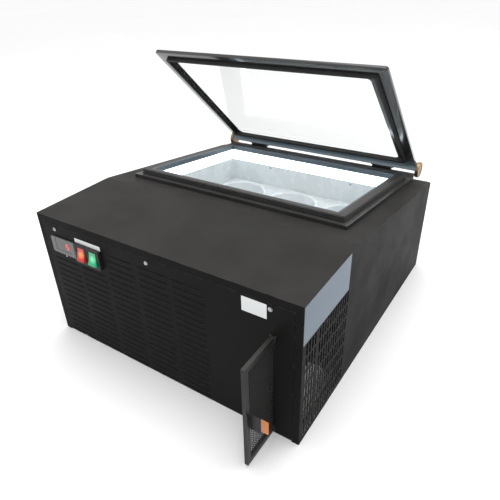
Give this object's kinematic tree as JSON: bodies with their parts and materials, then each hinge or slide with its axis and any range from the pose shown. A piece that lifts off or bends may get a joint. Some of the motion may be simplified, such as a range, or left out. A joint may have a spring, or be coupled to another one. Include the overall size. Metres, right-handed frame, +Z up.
{
  "type": "countertop chest freezer with glass lid",
  "caption": "Low countertop dipping freezer with a louvred machine compartment, slotted sides, lit sloping tank holding round pans, and a rear-hinged framed glass lid.",
  "frame": {"origin": "centre of the base on the surface it stands on", "axes": "+X to the right seen from the front, +Y from the louvred front to the hinge side, +Z up"},
  "size_m": [0.708, 0.9015, 0.6404],
  "materials": {
    "casing_paint": "textured satin",
    "zinc_sheet": "galvanised",
    "steel_fastener": "satin",
    "grey_plastic": "satin",
    "window_plastic": "gloss",
    "black_plastic": "matte",
    "red_rocker": "gloss",
    "green_rocker": "gloss",
    "filter_net": "matte",
    "fin_aluminium": "satin",
    "copper": "drawn tube",
    "compressor_paint": "gloss",
    "rubber": "matte",
    "white_plastic": "gloss",
    "foam": "matte",
    "lamp_diffuser": "opal",
    "breaker_plastic": "satin",
    "strip_steel": "brushed",
    "hinge_black": "satin",
    "rail_gloss": "gloss",
    "cap_bronze": "satin bronze",
    "glass": "clear"
  },
  "bodies": {
    "cabinet": {"base_pan": "zinc_sheet", "machine_casing": "casing_paint", "front_panel": "casing_paint", "panel_screws": "steel_fastener", "thermostat_body": "black_plastic", "thermostat_bezel": "grey_plastic", "thermostat_window": "window_plastic", "switch_block": "black_plastic", "filter_rails": "zinc_sheet", "condenser_fins": "fin_aluminium", "condenser_tubes": "copper", "condenser_plates": "zinc_sheet", "air_baffle": "zinc_sheet", "fan_shroud": "zinc_sheet", "fan_motor": "black_plastic", "compressor": "compressor_paint", "compressor_foot": "zinc_sheet", "compressor_grommets": "rubber", "compressor_bolts": "steel_fastener", "terminal_cover": "black_plastic", "dryer": "copper", "refrigerant_pipes": "copper", "partition": "zinc_sheet", "cord_gland": "black_plastic", "side_panel_left": "casing_paint", "side_panel_right": "casing_paint", "rear_panel": "casing_paint", "front_strip": "casing_paint", "insulation": "foam", "evaporator_coil": "copper", "liner": "white_plastic", "lamp_band": "lamp_diffuser", "breaker": "breaker_plastic", "collar_foot": "black_plastic", "collar_frame": "black_plastic", "rack_plate_1": "white_plastic", "rack_plate_2": "white_plastic", "rack_plate_3": "white_plastic", "pan_1": "white_plastic", "pan_2": "white_plastic", "pan_3": "white_plastic", "pan_4": "white_plastic", "pan_5": "white_plastic", "pan_6": "white_plastic", "hinge_strip": "strip_steel", "hinge_blocks": "hinge_black", "hinge_screws": "steel_fastener"},
    "lid": {"hinge_pins": "steel_fastener", "lid_rail": "rail_gloss", "rail_caps": "cap_bronze", "lid_frame": "rail_gloss", "lid_glass": "glass", "glass_border": "black_plastic", "lid_gasket": "rubber"},
    "filter": {"filter_frame": "black_plastic", "filter_mesh": "filter_net", "filter_tab": "black_plastic"},
    "red_switch": {"red_rocker": "red_rocker"},
    "green_switch": {"green_rocker": "green_rocker"},
    "fan": {"fan_blades": "black_plastic"}
  },
  "joints": [
    {"name": "lid_hinge", "type": "hinge", "parent": "cabinet", "child": "lid", "pos_m": [0, 0.39306, 0.2937], "axis": [-1, 0, 0], "range_deg": [-34.7, 43]},
    {"name": "filter_slide", "type": "slide", "parent": "cabinet", "child": "filter", "axis": [0, 1, 0], "range_m": [-0.09, 0.085]},
    {"name": "red_rocker_pivot", "type": "hinge", "parent": "cabinet", "child": "red_switch", "pos_m": [-0.205, -0.3915, 0.278], "axis": [1, 0, 0], "range_deg": [0, 30]},
    {"name": "green_rocker_pivot", "type": "hinge", "parent": "cabinet", "child": "green_switch", "pos_m": [-0.167, -0.3915, 0.278], "axis": [1, 0, 0], "range_deg": [0, 30]},
    {"name": "fan_spin", "type": "hinge", "parent": "cabinet", "child": "fan", "pos_m": [0.177, -0.273, 0.12], "axis": [1, 0, 0], "continuous": true}
  ]
}
